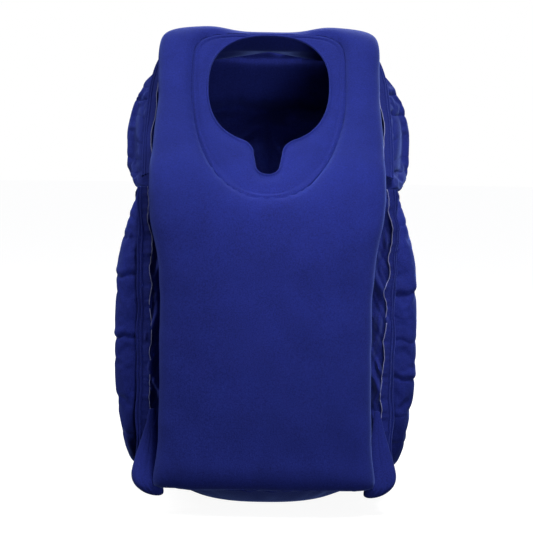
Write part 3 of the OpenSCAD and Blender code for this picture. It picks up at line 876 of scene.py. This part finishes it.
def front_seam(side):
    """The flange up the front of the side bolster, then back along the shoulder bolster."""
    seed = 21 if side == "left" else 22
    edge = even(spline(RAW_EDGE_LINE[side], 12), 260, slice(0, 1))
    front = SIDE.y0 - 2.5
    height = edge[:, 0]
    fine = wave(height, seed, (23, 13, 8))
    slow = wave(height, seed + 5, (47, 29))
    raw = np.stack([edge[:, 1] + 0.3 * fine + 0.8 * slow, front - 3 - edge[:, 2] - 0.5 * fine, height], 1)
    weld = np.stack([SEAM_X + 1 + 0.8 * wave(height, 31, (80, 47)), np.full(len(edge), front), height], 1)
    weld[:, 0] = np.maximum(weld[:, 0], raw[:, 0] + 7)
    upper = spline([
        [SEAM_X, slope_back_y(366) - 4, 366], [SEAM_X + 1, slope_back_y(400) - 4, 400],
        [SEAM_X, slope_back_y(440) - 4, 440], [SEAM_X - 3, slope_back_y(475) - 5, 475],
        [SEAM_X - 10, slope_back_y(500) - 6, 500], [SEAM_X - 22, slope_back_y(517) - 2, 517],
    ], 30)
    fine = wave(upper[:, 2], seed + 20, (19, 12))
    slow = wave(upper[:, 2], seed + 25, (83, 47))
    inward_by, forward_by = 10 + 1.2 * slow + 0.2 * fine, 6 + 1.0 * slow + 0.3 * fine
    upper_raw = upper + np.stack([-inward_by, -forward_by, np.full(len(upper), 5.0)], 1)
    for part, one, other in (("lower", weld, raw), ("upper", upper, upper_raw)):
        one, other = mirrored(one, side), mirrored(other, side)
        span = other - one
        width = np.linalg.norm(span, axis=1)
        name = f"{side}_front_seam_{part}"
        piece, _ = frill(name, one, span / width[:, None], np.zeros_like(one), width, 0)
        finish_piece(piece, "weld_flange", side + "_front_seam")
        raw_edge(name + "_edge", other)
        for number, share in enumerate((0.02, 0.3)):
            welt(f"{name}_welt_{number + 1}", one + share * span - [0, 0.5, 0])


def gusset(side):
    """The folded strip in the crevice between the front cushion and the side bolster."""
    z = np.linspace(36, 352, 130)
    f = np.linspace(0, 1, 25)
    x0, x1 = 106, 137
    seed = 51 if side == "left" else 52
    grid = np.zeros((len(z), len(f), 3))
    fold_at = 0.5 + 0.16 * wave(z, seed, (140, 83, 51))
    for j, share in enumerate(f):
        ridge = np.exp(-((share - fold_at) / 0.13) ** 2) * (7 + 2.5 * wave(z, seed + 2, (66, 37)))
        second = np.exp(-((share - fold_at - 0.27) / 0.07) ** 2) * (3 + 3 * wave(z, seed + 3, (47, 29)))
        grid[:, j, 0] = x0 + (x1 - x0) * share
        grid[:, j, 1] = SIDE.y0 - 2.2 - ridge - second - 0.8 * wave(z + 60 * share, seed + 4, (23, 13))
        grid[:, j, 2] = z
    upper = np.clip((z - 300) / 52, 0, 1)[:, None]
    grid[:, :, 1] += 24 * upper ** 1.5
    grid[:, :, 0] += 5 * upper
    grid = mirrored(grid.reshape(-1, 3), side)
    piece = make_mesh(side + "_gusset_strip", grid, grid_faces(len(z), len(f), False, False), FLANGE)
    thicken(piece, STRIP_T)
    subdivide(piece)
    return finish_piece(piece, "weld_flange", side + "_gusset")


def shoulder_gusset(side):
    """The sheet that closes the wedge between the sloping front cushion and the rear cushion."""
    z = np.linspace(430, 524, 60)
    f = np.linspace(0, 1, 21)
    seed = 55 if side == "left" else 56
    front, back = slope_back_y(z) - 16 + 7 * ramp(z, 440, 525), np.full(len(z), REAR.y0 + 7.0)
    front = np.minimum(front, back - 1)
    outward = 119 - 17 * ramp(z, 440, 525)
    grid = np.zeros((len(z), len(f), 3))
    for j, share in enumerate(f):
        ripple = wave(z + 30 * share, seed, (41, 23)) + 0.6 * wave(30 * share + z, seed + 1, (17, 11))
        grid[:, j, 0] = outward + 1.3 * ripple * math.sin(math.pi * share)
        grid[:, j, 1] = front + (back - front) * share
        grid[:, j, 2] = z
    grid = mirrored(grid.reshape(-1, 3), side)
    piece = make_mesh(side + "_shoulder_gusset", grid, grid_faces(len(z), len(f), False, False), FLANGE)
    thicken(piece, STRIP_T)
    subdivide(piece)
    return finish_piece(piece, "weld_flange")


def corner_ear(side):
    """The soft corner where the side's seam is pinched into the base seam."""
    keys = [
        [112, 124, -106, 3, 1.5], [92, 125, -109, 6.5, 3], [74, 126.5, -113, 10.5, 5],
        [56, 128.5, -119, 14, 8], [42, 129, -124, 16, 10.5], [32, 126, -127, 15.5, 11],
        [24.5, 121, -128, 12, 9], [20.5, 117, -128, 7, 5.5], [19.5, 116, -128, 3, 3],
    ]
    rows = even(spline(keys, 8), 46, slice(0, 3))
    columns = 44
    rings = []
    for z, x, y, wide, deep in rows:
        ring = even(squircle(wide, deep, 2.3), columns, closed=True)
        bearing = np.arctan2(ring[:, 1], ring[:, 0])
        fold = 1 - 0.11 * np.exp(-((bearing + 1.75 + 0.1 * math.sin(z / 9)) / 0.13) ** 2)
        fold -= 0.09 * np.exp(-((bearing + 1.15 + 0.12 * math.sin(z / 13)) / 0.12) ** 2)
        rings.append(np.stack([x + ring[:, 0] * fold, y + ring[:, 1] * fold, np.full(columns, z)], 1))
    rings = np.array(rings)[::-1]
    rings = mirrored(rings.reshape(-1, 3), side).reshape(rings.shape)
    piece = closed_loft(side + "_corner_ear", rings if side == "right" else rings[:, ::-1], FLANGE)
    subdivide(piece)
    return finish_piece(piece, "weld_flange")


def base_seam():
    """The flange round the base, wavy at its raw edge."""
    count = 420
    inner = even(squircle(BASE.x1 - 6, BASE.y1 - 6, 3.4), count, closed=True)
    outer = even(squircle(BASE_SEAM.x1 - 2, BASE_SEAM.y1 - 3, 4.5), count, closed=True)
    level = (BASE_SEAM.z0 + BASE_SEAM.z1) / 2
    run = np.arange(count) * 2.1
    ripple = wave(run, 61, (52, 31, 17))
    rings = []
    for f in np.linspace(0, 1, 8):
        flat = inner + (outer - inner) * f
        rings.append(np.column_stack([flat, level + f ** 1.5 * 1.6 * ripple]))
    points = np.concatenate(rings)
    piece = make_mesh("base_seam_flange", points, grid_faces(8, count), FLANGE)
    thicken(piece, FLANGE_T)
    subdivide(piece)
    return finish_piece(piece, "weld_flange", "base_seam")


def rear_seam(side):
    """The flange where the rear cushion meets a side, wavy at its raw edge."""
    line = spline([
        [REAR.x1 - 1, REAR.y0 + 8, 44], [REAR.x1 + 1, REAR.y0 + 9, 190],
        [REAR.x1 - 4, REAR.y0 + 11, 350], [REAR.x1 - 18, REAR.y0 + 11, 445],
    ], 40)
    ripple = wave(line[:, 2], 71, (48, 29, 16))
    out = np.tile([1.0, -0.15, 0], (len(line), 1))
    up = np.tile([0.0, -1.0, 0], (len(line), 1))
    line, out, up = mirrored(line, side), mirrored(out, side), mirrored(up, side)
    piece, edge = frill(side + "_rear_seam_flange", line, out, up, 12 + 1.2 * ripple, 2.4 * ripple)
    raw_edge(side + "_rear_seam_edge", edge)
    return finish_piece(piece, "weld_flange", side + "_rear_seam")


def top_seam():
    """The flange behind the shoulders, between the front and the rear cushion."""
    x = np.linspace(-84, 84, 90)
    ripple = wave(x, 81, (55, 31, 17))
    level = FRONT.z1 - 25 - 7 * (np.abs(x) / 84) ** 3
    line = np.stack([x, np.full(len(x), REAR.y0 + 1.5), level], 1)
    out = np.tile([0.0, 0.1, 1.0], (len(x), 1))
    up = np.tile([0.0, 1.0, 0.0], (len(x), 1))
    piece, edge = frill("top_seam_flange", line, out, up, 11 + ripple, 1.8 * ripple)
    raw_edge("top_seam_edge", edge)
    return finish_piece(piece, "weld_flange", "top_seam")


def arm_cuff(side):
    """The weld flange inside the arm hole."""
    count = 240
    c, n, half = ring_frame(count)
    run = np.arange(count) * 2.6
    ripple = wave(run, 91, (46, 27, 15))
    middle = (CUFF.x0 + CUFF.x1) / 2
    rings = []
    for f in np.linspace(0, 1, 7):
        flat = c - n * (half - 0.8 + 7 * f + 0.5 * ripple * f)[:, None]
        x = middle + 1.5 * f ** 1.5 * ripple
        rings.append(np.column_stack([x, RING_Y + flat[:, 0], RING_Z + flat[:, 1]]))
    points = mirrored(np.concatenate(rings), side)
    piece = make_mesh(side + "_arm_cuff_flange", points, grid_faces(7, count), FLANGE)
    thicken(piece, FLANGE_T)
    subdivide(piece)
    return finish_piece(piece, "weld_flange", side + "_arm_cuff")


# ---------- Valve ----------


def valve():
    """The CAD valve stays, with its materials."""
    for node in ("valve_base", "valve_stopper", "valve_strap_ring", "valve_cap"):
        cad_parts[node].material_slots[0].material = VALVE
    for node in ("valve_o_ring", "valve_membrane"):
        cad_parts[node].material_slots[0].material = SILICONE


def strap_fold():
    """The thin fold from the ring's tab to the cap's tab; the real one bends as the cap opens, this one is a
    fixed, slightly bowed strip.
    """
    fold = Box("valve_strap")
    rise = fold.y1 - fold.y0
    bow, thick, rows, half_w = 0.9, 0.7, 15, 4
    f = np.linspace(0, 1, rows)
    x = fold.x0 - 0.7 + bow * np.sin(np.pi * f) ** 0.7
    y = fold.y0 + 0.1 + (rise + 0.2) * f
    z = VALVE_Z + half_w * np.array([-1, -0.5, 0, 0.5, 1])
    grid = np.stack(np.broadcast_arrays(x[:, None], y[:, None], z[None, :]), 2)
    piece = make_mesh("valve_strap_fold", grid.reshape(-1, 3), grid_faces(rows, len(z), False, False), VALVE)
    thicken(piece, thick)
    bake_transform(piece)
    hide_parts("valve_strap")


front_cushion()
face_cradle()
rear_cushion()
tension_web()
base_cushion()
base_seam()
top_seam()
for side in ("left", "right"):
    side_bolster(side)
    shoulder_bolster(side)
    front_seam(side)
    gusset(side)
    shoulder_gusset(side)
    corner_ear(side)
    rear_seam(side)
    arm_cuff(side)
valve()
strap_fold()


# ---------- Stage ----------


def stage_mesh(name, points, faces, colour, glow):
    """A stage piece that the camera sees near white and that sends no light back to the object."""
    mesh = bpy.data.meshes.new(name)
    mesh.from_pydata(points, [], faces)
    material, _, _, shader = new_material(name)
    shader.inputs["Base Color"].default_value = (*colour, 1)
    shader.inputs["Roughness"].default_value = 0.95
    shader.inputs["Specular IOR Level"].default_value = 0.0
    shader.inputs["Emission Color"].default_value = (1, 1, 1, 1)
    shader.inputs["Emission Strength"].default_value = glow
    material.cycles.emission_sampling = "NONE"
    mesh.materials.append(material)
    piece = bpy.data.objects.new(name, mesh)
    piece.visible_diffuse = piece.visible_glossy = piece.visible_transmission = False
    bpy.context.scene.collection.objects.link(piece)
    return piece


def studio():
    far, high = 14, 12
    stage_mesh("floor", [(-far, -far, 0), (far, -far, 0), (far, far, 0), (-far, far, 0)], [(0, 1, 2, 3)],
               (0.2, 0.2, 0.2), 0.93)
    ring = [(far * math.cos(a), far * math.sin(a)) for a in np.linspace(0, 2 * math.pi, 48, endpoint=False)]
    walls = [(x, y, -0.01) for x, y in ring] + [(x, y, high) for x, y in ring]
    count = len(ring)
    faces = [((i + 1) % count, i, count + i, count + (i + 1) % count) for i in range(count)]
    faces.append(tuple(range(count, 2 * count)))
    backdrop = stage_mesh("backdrop", walls, faces, (0, 0, 0), 1.0)
    backdrop.visible_shadow = False
    world = bpy.data.worlds.new("studio")
    bpy.context.scene.world = world
    world.use_nodes = True
    nodes, links = world.node_tree.nodes, world.node_tree.links
    split = nodes.new("ShaderNodeSeparateXYZ")
    links.new(nodes.new("ShaderNodeTexCoord").outputs["Generated"], split.inputs["Vector"])
    dome = colour_band(nodes, links, split.outputs["Z"], (0.02, 0.02, 0.024), (0.30, 0.31, 0.34), 0.0, 0.75)
    links.new(dome, nodes["Background"].inputs["Color"])
    for name, place, aim, size, power, spread in (
        ("key", (0.5, -0.8, 2.3), (0, -0.05, 0.3), 0.7, 49, 180),
        ("sweep", (0.45, -1.3, 0.12), (0, 0.05, 0.5), 0.5, 9, 180),
        ("left", (-1.9, -0.3, 1.4), (0, 0, 0.35), 0.9, 27, 180),
        ("back", (0.5, 1.9, 1.7), (0, 0, 0.25), 1.0, 45, 180),
        ("chest", (0.2, -1.7, 1.35), (0.03, -0.15, 0.325), 0.12, 0.07, 11),
    ):
        light = bpy.data.lights.new(name, "AREA")
        light.size, light.energy, light.spread = size, power, math.radians(spread)
        lamp = bpy.data.objects.new(name, light)
        lamp.location = place
        lamp.rotation_euler = aim_at(place, aim)
        bpy.context.scene.collection.objects.link(lamp)


def aim_at(place, target):
    return (Vector(target) - Vector(place)).to_track_quat("-Z", "Y").to_euler()


def camera():
    data = bpy.data.cameras.new("camera")
    data.lens, data.sensor_width = 117.2, 36
    cam = bpy.data.objects.new("camera", data)
    place, target = (0, -2.0, 0.41), (0, 0, 0.2622)
    cam.location = place
    cam.rotation_euler = aim_at(place, target)
    cam.rotation_euler.rotate_axis("Z", math.radians(0.75))
    bpy.context.scene.collection.objects.link(cam)
    bpy.context.scene.camera = cam


studio()
camera()
bpy.context.scene.view_settings.view_transform = "Standard"
